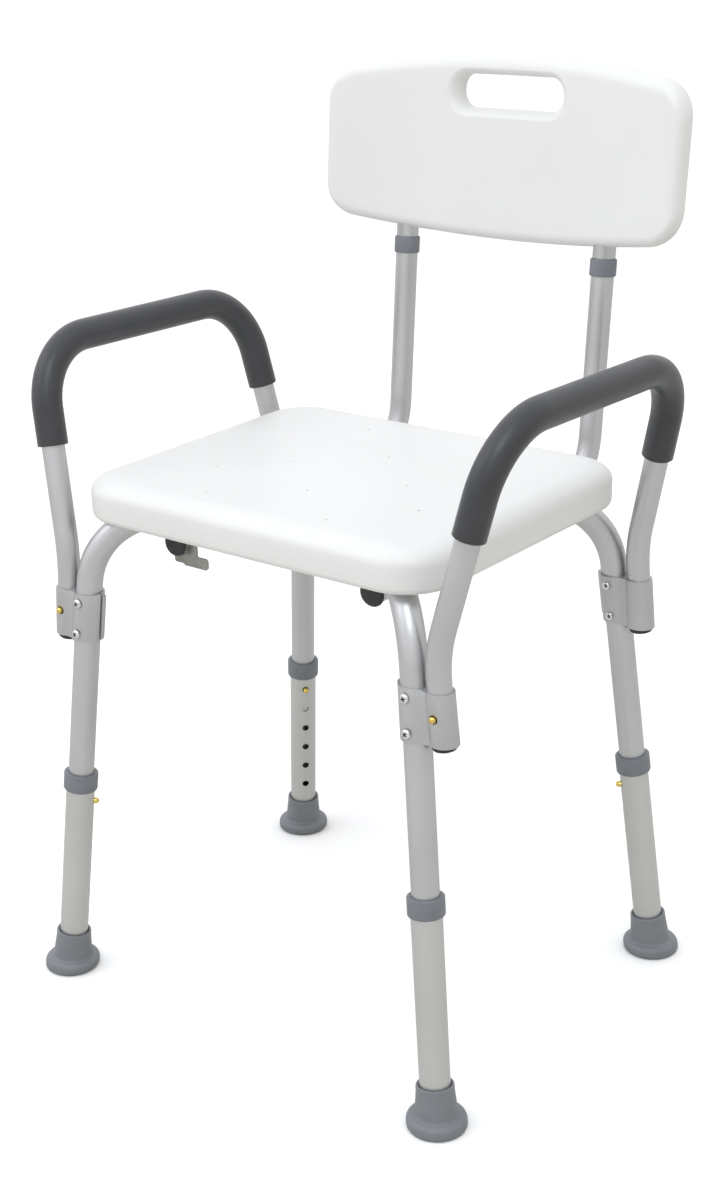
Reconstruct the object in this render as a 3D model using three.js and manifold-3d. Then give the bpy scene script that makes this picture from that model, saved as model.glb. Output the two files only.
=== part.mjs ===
// Shower chair with arms and a backrest: a moulded seat on two crossing tube frames, four
// telescopic feet, two lift-off arms in clamp brackets and a lift-off back.
// Millimetres, +Z up. Origin on the floor at the centre of the four feet; -Y is the chair's
// front and +X is the side at the sitter's left hand. Names: f front, r rear, then l for -X and
// r for +X.
import * as THREE from "three";
import { mergeVertices } from "three/addons/utils/BufferGeometryUtils.js";
import { ConvexGeometry } from "three/addons/geometries/ConvexGeometry.js";
import Module from "manifold-3d";

const wasm = await Module();
wasm.setup();

// ---------------------------------------------------------------- driving dimensions
const FOOT_X = 236, FOOT_Y = 192; // foot centres on the floor
const SPLAY_X = 0.1017, SPLAY_Y = 0.073; // inward run per unit of height
const LEG_OD = 25.4, LEG_WALL = 1.2; // upper (frame) tube
const FOOT_OD = 28.6, FOOT_WALL = 1.3; // outer sliding tube
const CROSS_Z = 492.6; // height of the crossing runs under the seat
const FRAME_BEND = 75; // centre-line bend radius at the seat corners
const HOLE_PITCH = 25.4, HOLE_COUNT = 6, HOLE_D = 7.5;
const LEG_BUTTON_Z = 193.5; // height of the snap button and the top hole
const SEAT_HX = 204, SEAT_HY = 168, SEAT_Y = 1.4; // seat half sizes and centre
const SEAT_Z0 = 491, SEAT_Z1 = 529.5, SEAT_R = 49, SEAT_WALL = 3.6, SEAT_DISH = 3.6;
const BACK_X = 116.4; // half spacing of the back tubes
const BACK_OD = 22.2, BACK_WALL = 1.2;
const BACK_Y600 = 243.8, BACK_LEAN = 0.0888; // back tube centre at z 600, and its rearward lean
const RAIL_Z = 468.6, RAIL_FRONT = -117.5; // horizontal run of the back tubes
const ARM_OD = 22.2, ARM_WALL = 1.2, GRIP_OD = 29.4;
const ARM_OFF = 26.4; // arm sleeve axis outboard of the leg axis
const ARM_YF = -162.4, ARM_YR = 161.4; // front and rear arm sleeve axes
const BRACKET_Z = 393.8, BRACKET_H = 48; // clamp bracket centre height and length
const ARM_PIN_Z = 396; // height of the arm snap buttons
const PANEL_HX = 204, PANEL_TOP = 870.2, PANEL_BOTTOM = 698.6, PANEL_T = 29;
const PANEL_CROWN_T = 17, PANEL_CROWN_B = 16.5, PANEL_BOW = 25, PANEL_SET = 7.5;
const SLOT_Z = 836, SLOT_HX = 60, SLOT_HZ = 15.6; // handle slot at its narrowest
const SEG = 10, FEW = 8; // facets round a tube, and round a pin or a hole

// ---------------------------------------------------------------- helpers
const V = (x, y, z) => new THREE.Vector3(x, y, z);
const group = new THREE.Group();
group.name = "shower_chair";

const FINISH = {
  tube: [0xc4c6ca, 0.38, 0.9], bracket: [0xb9bbbe, 0.45, 0.85], plate: [0x9b9990, 0.5, 0.8],
  chrome: [0xd9dbde, 0.15, 1], brass: [0xc8a23c, 0.25, 1], plastic: [0xf1f1ee, 0.45, 0],
  collar: [0x7d848b, 0.55, 0], foot: [0x80868c, 0.75, 0], grip: [0x55585b, 0.7, 0],
  black: [0x1d1d1e, 0.6, 0],
};

// A closed geometry as a solid that can be joined and cut.
function solidOf({ geometry, matrix }) {
  const flat = geometry.index ? geometry.toNonIndexed() : geometry.clone();
  flat.deleteAttribute("normal");
  flat.deleteAttribute("uv");
  if (matrix) flat.applyMatrix4(matrix);
  const g = mergeVertices(flat, 1e-4);
  const pos = g.attributes.position, idx = g.index.array, tris = [];
  const p = (i) => new THREE.Vector3().fromBufferAttribute(pos, i);
  let volume = 0;
  for (let i = 0; i < idx.length; i += 3) {
    const [a, b, c] = [idx[i], idx[i + 1], idx[i + 2]];
    if (a === b || b === c || a === c) continue;
    volume += p(a).dot(p(b).cross(p(c)));
    tris.push(a, b, c);
  }
  if (volume < 0)
    for (let i = 0; i < tris.length; i += 3) [tris[i + 1], tris[i + 2]] = [tris[i + 2], tris[i + 1]];
  return new wasm.Manifold(new wasm.Mesh({
    numProp: 3, vertProperties: Float32Array.from(pos.array), triVerts: Uint32Array.from(tris),
  }));
}
const asSolid = (x) => (x.geometry ? solidOf(x) : x);
const join = (...list) => list.map(asSolid).reduce((a, b) => a.add(b));
const cut = (base, ...tools) => tools.map(asSolid).reduce((a, b) => a.subtract(b), asSolid(base));

// Puts a named piece in the group: a placed geometry, or the result of joins and cuts.
// the chair is drawn about the middle of its four feet, then moved so that the origin is
// under the middle of the whole chair, backrest included
const MIDDLE_Y = 34.195;
function add(name, piece, finish) {
  const [color, roughness, metalness] = FINISH[finish];
  const material = new THREE.MeshStandardMaterial({ color, roughness, metalness });
  let mesh;
  if (piece.geometry) {
    mesh = new THREE.Mesh(piece.geometry, material);
    if (piece.matrix) piece.matrix.decompose(mesh.position, mesh.quaternion, mesh.scale);
  } else {
    const m = piece.getMesh(), g = new THREE.BufferGeometry();
    g.setAttribute("position", new THREE.BufferAttribute(m.vertProperties, 3));
    g.setIndex(new THREE.BufferAttribute(m.triVerts, 1));
    g.computeVertexNormals();
    mesh = new THREE.Mesh(g, material);
  }
  mesh.name = name;
  mesh.position.y -= MIDDLE_Y;
  group.add(mesh);
}

// Closed loft through rings of equal length; its ends are capped unless it closes on itself.
function skin(rings, { closed = false } = {}) {
  const n = rings[0].length, tris = [], all = rings.flat();
  const rows = closed ? rings.length : rings.length - 1;
  for (let i = 0; i < rows; i++) {
    const a = i * n, b = ((i + 1) % rings.length) * n;
    for (let j = 0; j < n; j++) {
      const k = (j + 1) % n;
      tris.push(a + j, a + k, b + k, a + j, b + k, b + j);
    }
  }
  const cap = (r, base, flip) => {
    const o = r[0], u = r[1].clone().sub(o).normalize(), w = V(0, 0, 0);
    for (let j = 1; j + 1 < n; j++) w.add(r[j].clone().sub(o).cross(r[j + 1].clone().sub(o)));
    const v = w.normalize().clone().cross(u);
    const flat = r.map((q) => q.clone().sub(o)).map((d) => new THREE.Vector2(d.dot(u), d.dot(v)));
    for (const t of THREE.ShapeUtils.triangulateShape(flat, []))
      tris.push(...(flip ? [t[0], t[2], t[1]] : t).map((q) => base + q));
  };
  if (!closed) {
    cap(rings[0], 0, true);
    cap(rings[rings.length - 1], (rings.length - 1) * n, false);
  }
  const geometry = new THREE.BufferGeometry().setFromPoints(all);
  geometry.setIndex(tris);
  return solidOf({ geometry });
}

// Polyline with its inner corners rounded: corners is [[point, radius, steps], ...].
function bentPath(corners) {
  const out = [corners[0][0].clone()];
  for (let i = 1; i + 1 < corners.length; i++) {
    const [c, r, steps] = corners[i];
    const d1 = c.clone().sub(corners[i - 1][0]).normalize();
    const d2 = corners[i + 1][0].clone().sub(c).normalize();
    const turn = Math.acos(THREE.MathUtils.clamp(d1.dot(d2), -1, 1));
    const reach = r * Math.tan(turn / 2);
    const a = c.clone().addScaledVector(d1, -reach);
    const side = d2.clone().addScaledVector(d1, -d1.dot(d2)).normalize();
    const hub = a.clone().addScaledVector(side, r);
    for (let k = 0; k <= steps; k++) {
      const t = (turn * k) / steps;
      out.push(hub.clone().addScaledVector(side, -r * Math.cos(t))
        .addScaledVector(d1, r * Math.sin(t)));
    }
  }
  out.push(corners[corners.length - 1][0].clone());
  return out;
}

// Section frames carried along a path without twist.
function frames(path, u0) {
  const out = [];
  let u = u0 || null;
  for (let i = 0; i < path.length; i++) {
    const a = path[Math.max(i - 1, 0)], b = path[Math.min(i + 1, path.length - 1)];
    const before = path[i].clone().sub(a), after = b.clone().sub(path[i]);
    const t = before.length() && after.length()
      ? before.normalize().add(after.normalize()).normalize()
      : b.clone().sub(a).normalize();
    if (!u) u = Math.abs(t.z) < 0.9 ? V(0, 0, 1) : V(0, 1, 0);
    u = u.clone().addScaledVector(t, -u.dot(t)).normalize();
    out.push({ p: path[i], t, u, v: t.clone().cross(u).normalize() });
  }
  return out;
}

// corner radius of an n-sided bore whose flats are r from its axis
const bore = (r, n = SEG) => r / Math.cos(Math.PI / n);
const circle = (f, r, n = SEG) => Array.from({ length: n }, (_, j) => {
  const a = (2 * Math.PI * (j + 0.5)) / n;
  return f.p.clone().addScaledVector(f.u, r * Math.cos(a)).addScaledVector(f.v, r * Math.sin(a));
});

function tube(path, r, wall, n = SEG) {
  const fs = frames(path);
  return skin([...fs.map((f) => circle(f, r, n)),
    ...fs.slice().reverse().map((f) => circle(f, bore(r - wall, n), n))], { closed: true });
}

// Matrix that stands a +Y geometry on a point, along an axis.
function stand(origin, axis, xdir) {
  const y = axis.clone().normalize();
  const x = xdir ? xdir.clone() : Math.abs(y.z) < 0.9 ? V(0, 0, 1) : V(1, 0, 0);
  x.addScaledVector(y, -x.dot(y)).normalize();
  return new THREE.Matrix4().makeBasis(x, y, x.clone().cross(y)).setPosition(origin);
}
// Turned piece: profile [[radius, height], ...] from axis to axis, or a closed section.
function turned(profile, origin, axis, n = SEG) {
  const points = profile.map(([r, h]) => new THREE.Vector2(r, h));
  if (points[0].x > 0) points.push(points[0].clone());
  return { geometry: new THREE.LatheGeometry(points, n), matrix: stand(origin, axis) };
}
// Round bar from a to b.
function drum(a, b, r, n = SEG) {
  const h = a.distanceTo(b), axis = b.clone().sub(a);
  return { geometry: new THREE.CylinderGeometry(r, r, h, n),
    matrix: stand(a.clone().add(b).multiplyScalar(0.5), axis) };
}
const along = (p, d, s) => p.clone().addScaledVector(d, s);
const box = (x0, x1, y0, y1, z0, z1) => ({
  geometry: new THREE.BoxGeometry(x1 - x0, y1 - y0, z1 - z0),
  matrix: new THREE.Matrix4().setPosition((x0 + x1) / 2, (y0 + y1) / 2, (z0 + z1) / 2),
});
// Flat outline in x and z, given thickness from y0 to y1.
function sheet(outline, y0, y1) {
  const shape = new THREE.Shape(outline.map(([x, z]) => new THREE.Vector2(x, -z)));
  return { geometry: new THREE.ExtrudeGeometry(shape, { depth: y1 - y0, bevelEnabled: false }),
    matrix: new THREE.Matrix4().makeBasis(V(1, 0, 0), V(0, 0, -1), V(0, 1, 0)).setPosition(0, y0, 0) };
}

// ---------------------------------------------------------------- leg geometry
const CORNERS = [["fl", -1, -1], ["fr", 1, -1], ["rl", -1, 1], ["rr", 1, 1]];
const legAt = (sx, sy, z) => V(sx * (FOOT_X - SPLAY_X * z), sy * (FOOT_Y - SPLAY_Y * z), z);
const legDir = (sx, sy) => legAt(sx, sy, 1).sub(legAt(sx, sy, 0)).normalize();
const inward = (sx, sy) => {
  const d = legDir(sx, sy), h = V(-sx * FOOT_X, -sy * FOOT_Y, 0);
  return h.addScaledVector(d, -h.dot(d)).normalize();
};
const armX = (z) => FOOT_X - SPLAY_X * z + ARM_OFF;
const armAt = (sx, sy, z) => V(sx * armX(z), sy < 0 ? ARM_YF : ARM_YR, z);
const armDir = (sx) => V(-sx * SPLAY_X, 0, 1).normalize();

// ---------------------------------------------------------------- crossing frame tubes
// Each is one inverted U from a front leg to the opposite rear leg. Where the two cross at the
// middle, each is pressed flat, one above the other.
const PINCH = 46, FLAT_H = 5.9, FLAT_W = 16.6, STEP_Z = 6.3;
function framePath(sx) {
  const ends = [[sx, -1], [-sx, 1]];
  const [a, b] = ends.map(([x, y]) => legAt(x, y, 160));
  const [ca, cb] = ends.map(([x, y]) => legAt(x, y, CROSS_Z));
  const bent = bentPath([[a, 0, 0], [ca, FRAME_BEND, 4], [cb, FRAME_BEND, 4], [b, 0, 0]]);
  const dir = cb.clone().sub(ca).normalize(), mid = ca.clone().add(cb).multiplyScalar(0.5);
  const half = bent.length / 2;
  const inner = [-1, -0.73, -0.46, 0.46, 0.73, 1].map((s) => along(mid, dir, s * PINCH));
  return { path: [...bent.slice(0, half), ...inner, ...bent.slice(half)], mid, dir };
}
function frameTube(sx, level) {
  const { path, mid, dir } = framePath(sx);
  const grow = (shrink) => (shrink ? bore(1) : 1);
  // the first section axis ends up pointing straight up along the crossing run
  const ring = (shrink) => frames(path, inward(sx, -1).negate()).map((f) => {
    const d = Math.abs(f.p.clone().sub(mid).dot(dir));
    const near = f.p.z > CROSS_Z - 1 && d < PINCH;
    const k = near ? THREE.MathUtils.smoothstep(1 - d / PINCH, 0, 0.53) : 0;
    const hw = (THREE.MathUtils.lerp(LEG_OD / 2, FLAT_W, k) - shrink) * grow(shrink);
    const hh = (THREE.MathUtils.lerp(LEG_OD / 2, FLAT_H, k) - shrink) * grow(shrink);
    return Array.from({ length: SEG }, (_, j) => {
      const a = (2 * Math.PI * (j + 0.5)) / SEG;
      const p = f.p.clone().addScaledVector(f.u, hh * Math.cos(a))
        .addScaledVector(f.v, hw * Math.sin(a));
      p.z += level * STEP_Z * k;
      return p;
    });
  });
  return skin([...ring(0), ...ring(LEG_WALL).reverse()], { closed: true });
}
const centreBore = drum(V(0, 0, 440), V(0, 0, 520), 3.3, FEW);
// holes for the leg buttons and for the bracket bolts
const BOLT_W = [15.6, -15.6];
const boltAt = (sx, sy, w) => legAt(sx, sy, BRACKET_Z + w);
const legHoles = (sx, sy, z, r) => {
  const p = legAt(sx, sy, z), d = inward(sx, sy);
  return drum(along(p, d, 4), along(p, d, 22), r, FEW);
};
for (const [name, sx, level] of [["frame_tube_a", -1, 1], ["frame_tube_b", 1, -1]]) {
  let s = cut(frameTube(sx, level), centreBore);
  for (const [x, y] of [[sx, -1], [-sx, 1]]) {
    s = cut(s, legHoles(x, y, LEG_BUTTON_Z, HOLE_D / 2));
    for (const w of BOLT_W) {
      const c = boltAt(x, y, w);
      s = cut(s, drum(V(c.x, c.y - 20, c.z), V(c.x, c.y + 20, c.z), 2.8, FEW));
    }
  }
  add(name, s, "tube");
}

// Leaf spring of a snap button: a strip folded into a V inside the tube. It is drawn in the plane
// of the pin (n) and the tube (axis): face and back are its two legs, as near together as they are
// with the pin pushed in, and reach is how far off the fold is.
function leaf(at, n, axis, face, back, reach, half) {
  const t = 0.8, mid = (face + back) / 2;
  const outline = [[face, 5], [face, -5], [mid + 1.3, -reach], [mid - 1.3, -reach], [back, 5],
    [back + t, 5], [mid - 0.6, t - reach], [mid + 0.6, t - reach], [face - t, -5], [face - t, 5]];
  const shape = new THREE.Shape(outline.map(([x, y]) => new THREE.Vector2(x, y)));
  const side = n.clone().cross(axis).normalize();
  return { geometry: new THREE.ExtrudeGeometry(shape, { depth: 2 * half, bevelEnabled: false }),
    matrix: new THREE.Matrix4().makeBasis(n, axis, side).setPosition(along(at, side, -half)) };
}

// ---------------------------------------------------------------- sliding feet
const TIP_TOP = 42.4, TUBE_BOTTOM = 11;
// outer radius against height, from the sole up, then the socket's bore from the rim down
const TIP_OUT = [[25.3, 0], [27.5, 1.3], [28.2, 3.4], [28.2, 7.4], [26.9, 10.6], [24.2, 12.4],
  [21, 13.2], [19.9, 15], [19.3, 20], [17.7, 37], [17.7, 41.2], [17.1, TIP_TOP]];
const TIP_IN = [[bore(14.55), TIP_TOP], [bore(14.55), TUBE_BOTTOM - 2.6]];
function footTip(sx, sy) {
  const d = legDir(sx, sy), up = V(0, 0, 1);
  const ring = ([r, z]) => {
    const k = THREE.MathUtils.smoothstep(z, 9, 26);
    const t = up.clone().lerp(d, k).normalize();
    const u = V(1, 0, 0).addScaledVector(t, -t.x).normalize();
    return circle({ p: legAt(sx, sy, z), u, v: t.clone().cross(u) }, r, SEG);
  };
  // a shallow ring groove in the sole
  const groove = turned([[17, -1], [21, -1], [20, 1.6], [18, 1.6]], legAt(sx, sy, 0), up);
  return cut(skin([...TIP_OUT.map(ring), ...TIP_IN.map(ring)]), groove);
}
for (const [id, sx, sy] of CORNERS) {
  const d = legDir(sx, sy);
  let s = tube([legAt(sx, sy, TUBE_BOTTOM), legAt(sx, sy, 222)], FOOT_OD / 2, FOOT_WALL);
  for (let k = 0; k < HOLE_COUNT; k++)
    s = cut(s, legHoles(sx, sy, LEG_BUTTON_Z - k * HOLE_PITCH * d.z, HOLE_D / 2));
  add(`foot_tube_${id}`, s, "tube");
  add(`foot_tip_${id}`, footTip(sx, sy), "foot");
  // plastic collar over the top end of the sliding tube
  const wide = bore(14.45), tight = bore(12.9);
  add(`leg_collar_${id}`, turned([[wide, 0], [16.5, 0], [17.1, 0.8], [17.1, 18.2], [16.5, 19],
    [tight, 19], [tight, 15.8], [wide, 15.8]], legAt(sx, sy, 206.8), d), "collar");
  // snap button: domed pin with a flange, on its leaf spring inside the upper tube
  const n = inward(sx, sy), at = legAt(sx, sy, LEG_BUTTON_Z);
  add(`leg_button_${id}`, join(turned([[0, 7.6], [4.6, 7.6], [4.6, 10], [2.9, 10], [2.9, 16.8],
    [2.2, 18.5], [0, 19.3]], at, n, FEW), leaf(at, n, d, 8, -4.2, 30, 4)), "brass");
}

// ---------------------------------------------------------------- arm clamp brackets
const ends = (at, sx, sy, over) =>
  [at(sx, sy, BRACKET_Z - BRACKET_H / 2 - over), at(sx, sy, BRACKET_Z + BRACKET_H / 2 + over)];
for (const [id, sx, sy] of CORNERS) {
  const legRod = (r, over = 8) => drum(...ends(legAt, sx, sy, over), r);
  const armRod = (r, over = 8) => drum(...ends(armAt, sx, sy, over), r);
  const mid = legAt(sx, sy, BRACKET_Z), axis = legDir(sx, sy);
  const u = V(-sx, 0, 0).addScaledVector(axis, sx * axis.x).normalize();
  // upright bar beside the leg axis: from r0 to r1 towards the middle, from y0 to y1 across
  const bar = (r0, r1, y0, y1) => ({
    geometry: new THREE.BoxGeometry(r1 - r0, 90, y1 - y0),
    matrix: stand(mid, axis, u).multiply(
      new THREE.Matrix4().setPosition((r0 + r1) / 2, 0, (sx * (y0 + y1)) / 2)),
  });
  // two sleeves, the pair of walls between them, and a short and a long clamping lip
  const arm = armAt(sx, sy, BRACKET_Z).y - mid.y;
  const waist = cut(bar(-23, -4, arm - 10.4, arm + 10.4), bar(-24, -3, arm - 8, arm + 8));
  let s = join(legRod(14.9), armRod(13.2), waist, bar(12, 16.6, -3.6, 0), bar(12, 19.4, 0, 3.4));
  // trim the ends level, then open the bores and the slit
  const slab = box(-400, 400, -400, 400, BRACKET_Z - BRACKET_H / 2, BRACKET_Z + BRACKET_H / 2);
  s = cut(s.intersect(solidOf(slab)), legRod(bore(12.85), 14), armRod(bore(11.3), 14),
    bar(8, 24, -0.9, 0.9));
  for (const bw of BOLT_W) {
    const b = boltAt(sx, sy, bw);
    s = cut(s, drum(V(b.x, b.y - 24, b.z), V(b.x, b.y + 24, b.z), 2.8, FEW));
  }
  const tap = armAt(sx, sy, ARM_PIN_Z);
  s = cut(s, drum(V(tap.x, tap.y + 5 * sy, tap.z), V(tap.x, tap.y + 24 * sy, tap.z), 4.1, FEW));
  add(`arm_bracket_${id}`, s, "bracket");
  // through-bolts: domed head outside, barrel nut with a ring end inside
  BOLT_W.forEach((bw, i) => {
    const b = boltAt(sx, sy, bw);
    const face = 15.4, out = V(0, sy, 0);
    const bolt = turned([[0, -face - 2.2], [2.1, -face - 2.2], [2.1, -face - 2.6],
      [3.5, -face - 2.6], [3.7, -face], [2.5, -face], [2.5, face], [4.5, face],
      [4.1, face + 1.9], [0, face + 2.8]], b, out, FEW);
    add(`bracket_bolt_${id}_${i ? "lower" : "upper"}`, bolt, "chrome");
  });
}

// ---------------------------------------------------------------- arms
const FLARE_Z = 448.5, FLARE_TILT = THREE.MathUtils.degToRad(12.5), ARM_END = 371;
function armPath(sx) {
  const xb = armX(FLARE_Z);
  const top = (y, t) => V(sx * (xb + Math.sin(FLARE_TILT) * t), y, FLARE_Z + Math.cos(FLARE_TILT) * t);
  return [armAt(sx, -1, ARM_END), V(sx * xb, ARM_YF, FLARE_Z), top(-137, 198.2), top(149, 191.2),
    V(sx * xb, ARM_YR, FLARE_Z), armAt(sx, 1, ARM_END)];
}
for (const [id, sx] of [["l", -1], ["r", 1]]) {
  const k = armPath(sx);
  const path = bentPath([[k[0], 0, 0], [k[1], 140, 2], [k[2], 66, 4], [k[3], 66, 4],
    [k[4], 140, 2], [k[5], 0, 0]]);
  let s = tube(path, ARM_OD / 2, ARM_WALL);
  for (const sy of [-1, 1]) {
    const p = armAt(sx, sy, ARM_PIN_Z);
    s = cut(s, drum(V(p.x, p.y + 5 * sy, p.z), V(p.x, p.y + 20 * sy, p.z), 3.6, FEW));
    const end = armAt(sx, sy, ARM_END), w = armDir(sx), tag = sy < 0 ? "f" : "r";
    // domed end plug pushed into the tube
    add(`arm_plug_${tag}${id}`, turned([[0, -7.6], [6.5, -7.2], [9.6, -6.2],
      [11.1, -4.4], [11.1, -0.15], [9.75, -0.15], [9.5, 12], [0, 12]], end, w), "black");
    add(`arm_button_${tag}${id}`, join(turned([[0, 6], [4.4, 6], [4.4, 8.4], [3.2, 8.4],
      [3.2, 14.4], [2.4, 16], [0, 16.8]], p, V(0, sy, 0), FEW),
    leaf(p, V(0, sy, 0), w.clone().negate(), 6.4, -3.6, 26, 3.4)), "brass");
  }
  add(`arm_tube_${id}`, s, "tube");
  // soft grip over the top run and both corners
  const post = (a, b, z) => a.clone().lerp(b, (z - a.z) / (b.z - a.z));
  const gp = bentPath([[post(k[1], k[2], 551), 0, 0], [k[2], 66, 4], [k[3], 66, 4],
    [post(k[4], k[3], 542), 0, 0]]);
  add(`arm_grip_${id}`, tube(gp, GRIP_OD / 2, GRIP_OD / 2 - ARM_OD / 2 - 0.15), "grip");
}

// ---------------------------------------------------------------- back tubes
const backY = (z) => BACK_Y600 + BACK_LEAN * (z - 600);
const backAt = (sx, z) => V(sx * BACK_X, backY(z), z);
const backDir = V(0, BACK_LEAN, 1).normalize();
const COLLAR_Z = 676.4, COLLAR_H = 16.2, SWAGE_Z = 689.4, INSERT_LOW = 612, INSERT_TOP = 800;
const BACK_BUTTON_Z = 655;
for (const [id, sx] of [["l", -1], ["r", 1]]) {
  const path = bentPath([[V(sx * BACK_X, RAIL_FRONT, RAIL_Z), 0, 0], [backAt(sx, RAIL_Z), 60, 5],
    [backAt(sx, SWAGE_Z - 0.6), 0, 0]]);
  const p = backAt(sx, BACK_BUTTON_Z);
  const n = V(0, 1, -BACK_LEAN).normalize();
  const pierce = (r) => drum(along(p, n, 5), along(p, n, 20), r, FEW);
  add(`back_tube_${id}`, cut(tube(path, BACK_OD / 2, BACK_WALL), pierce(3.6)), "tube");
  add(`back_tube_cap_${id}`, turned([[0, -3.6], [10.4, -3.6], [12.4, -2.4], [12.8, -0.3],
    [9.7, -0.3], [9.4, 11], [0, 11]], V(sx * BACK_X, RAIL_FRONT, RAIL_Z), V(0, 1, 0)), "black");
  add(`back_collar_${id}`, turned([[bore(11.35), 0], [12.5, 0], [12.9, 0.5], [12.9, 15.7],
    [12.5, COLLAR_H], [bore(11.35), COLLAR_H]], backAt(sx, COLLAR_Z), backDir), "collar");
  // upper tube with its lower end drawn down to slide inside the back tube
  const step = (z) => (z - INSERT_LOW) / backDir.z;
  const e = step(INSERT_TOP), f = step(SWAGE_Z), r0 = 9.75, r1 = BACK_OD / 2;
  const q0 = bore(r0 - 1.2), q1 = bore(r1 - 1.2);
  const insert = turned([[q0, 0], [r0, 0], [r0, f], [r1, f + 2.5], [r1, e], [q1, e],
    [q1, f + 3.5], [q0, f + 1]], backAt(sx, INSERT_LOW), backDir);
  add(`back_insert_${id}`, cut(insert, pierce(3.5)), "tube");
  add(`back_button_${id}`, join(turned([[0, 4.2], [4, 4.2], [4, 6.6], [3.1, 6.6], [3.1, 12.6],
    [2.3, 14], [0, 14.8]], p, n, FEW), leaf(p, n, backDir, 4.6, -2.9, 26, 3)), "brass");
  // saddle clip holding the horizontal run up against the seat
  add(`seat_clip_${id}`, hanger([sx * BACK_X], 15.4, -34, -12), "plate");
}
// Strap under the seat that hangs round one or more back tubes, with feet past the outer ones.
function hanger(at, reach, y0, y1) {
  const under = SEAT_Z0 - 0.3, r = BACK_OD / 2 + 0.3, t = 2;
  const x0 = Math.min(...at) - r - reach, x1 = Math.max(...at) + r + reach;
  const rail = (x, q) => drum(V(x, y0, RAIL_Z), V(x, y1, RAIL_Z), q);
  let s = solidOf(box(x0, x1, y0, y1, under - t, under));
  for (const x of at)
    s = join(s, box(x - r - t, x + r + t, y0, y1, RAIL_Z, under), rail(x, r + t));
  for (const x of at)
    s = cut(s, drum(V(x, y0 - 1, RAIL_Z), V(x, y1 + 1, RAIL_Z), bore(r)),
      box(x - r, x + r, y0 - 1, y1 + 1, RAIL_Z, at.length > 1 ? under - t : under + 1));
  return s;
}
// rear cross strap: one piece with a loop round both back tubes
add("rear_strap", hanger([-BACK_X, BACK_X], 10, 137, 157), "plate");
// stamped retaining plate hung round the left back tube just behind its cap
{
  const outline = [[-96.2, 490.6], [-110.8, 490.6], [-110.8, 476], [-116.4, 468.6],
    [-131, 471], [-131, 463], [-125, 452], [-124.6, 448.2], [-123.6, 447.2], [-113.6, 447.2],
    [-112.4, 445.4], [-85.4, 445.4], [-83.2, 447.4], [-83.2, 454.4], [-85.2, 456.4],
    [-96.2, 456.4]];
  const hook = cut(sheet(outline, -112.2, -110.2), drum(V(-BACK_X, -115, RAIL_Z),
    V(-BACK_X, -108, RAIL_Z), bore(BACK_OD / 2 + 0.25)));
  add("retaining_plate", join(hook, box(-110.8, -96.2, -131, -111, 488.6, 490.6)), "plate");
}

// ---------------------------------------------------------------- seat
const roundRect = (hx, hy, r, n = 4) => {
  const pts = [];
  [[1, 1, 0], [-1, 1, 90], [-1, -1, 180], [1, -1, 270]].forEach(([sx, sy, a0]) => {
    for (let k = 0; k <= n; k++) {
      const a = THREE.MathUtils.degToRad(a0 + (90 * k) / n);
      pts.push([sx * (hx - r) + r * Math.cos(a), sy * (hy - r) + r * Math.sin(a)]);
    }
  });
  return pts;
};
// slab with a rounded bottom edge and a top edge rolled rollZ down and rollX in
function seatSlab(inset, z0, z1, rollX, rollZ, rBottom) {
  const rows = [];
  for (let k = 2; k >= 0; k--) {
    const a = (Math.PI / 2) * (k / 2);
    rows.push([z0 + rBottom * (1 - Math.sin(a)), rBottom * (1 - Math.cos(a))]);
  }
  for (let k = 0; k <= 4; k++) {
    const a = (Math.PI / 2) * (k / 4);
    rows.push([z1 - rollZ + rollZ * Math.sin(a), rollX * (1 - Math.cos(a))]);
  }
  // the top dips from its rim to a shallow dish
  for (const [i, drop] of [[22, 0.4], [60, 1]])
    rows.push([z1 - SEAT_DISH * drop, rollX + i]);
  return skin(rows.map(([z, i]) => roundRect(SEAT_HX - inset - i, SEAT_HY - inset - i,
    Math.max(SEAT_R - inset - i, 6)).map(([x, y]) => V(x, y + SEAT_Y, z))));
}
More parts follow.
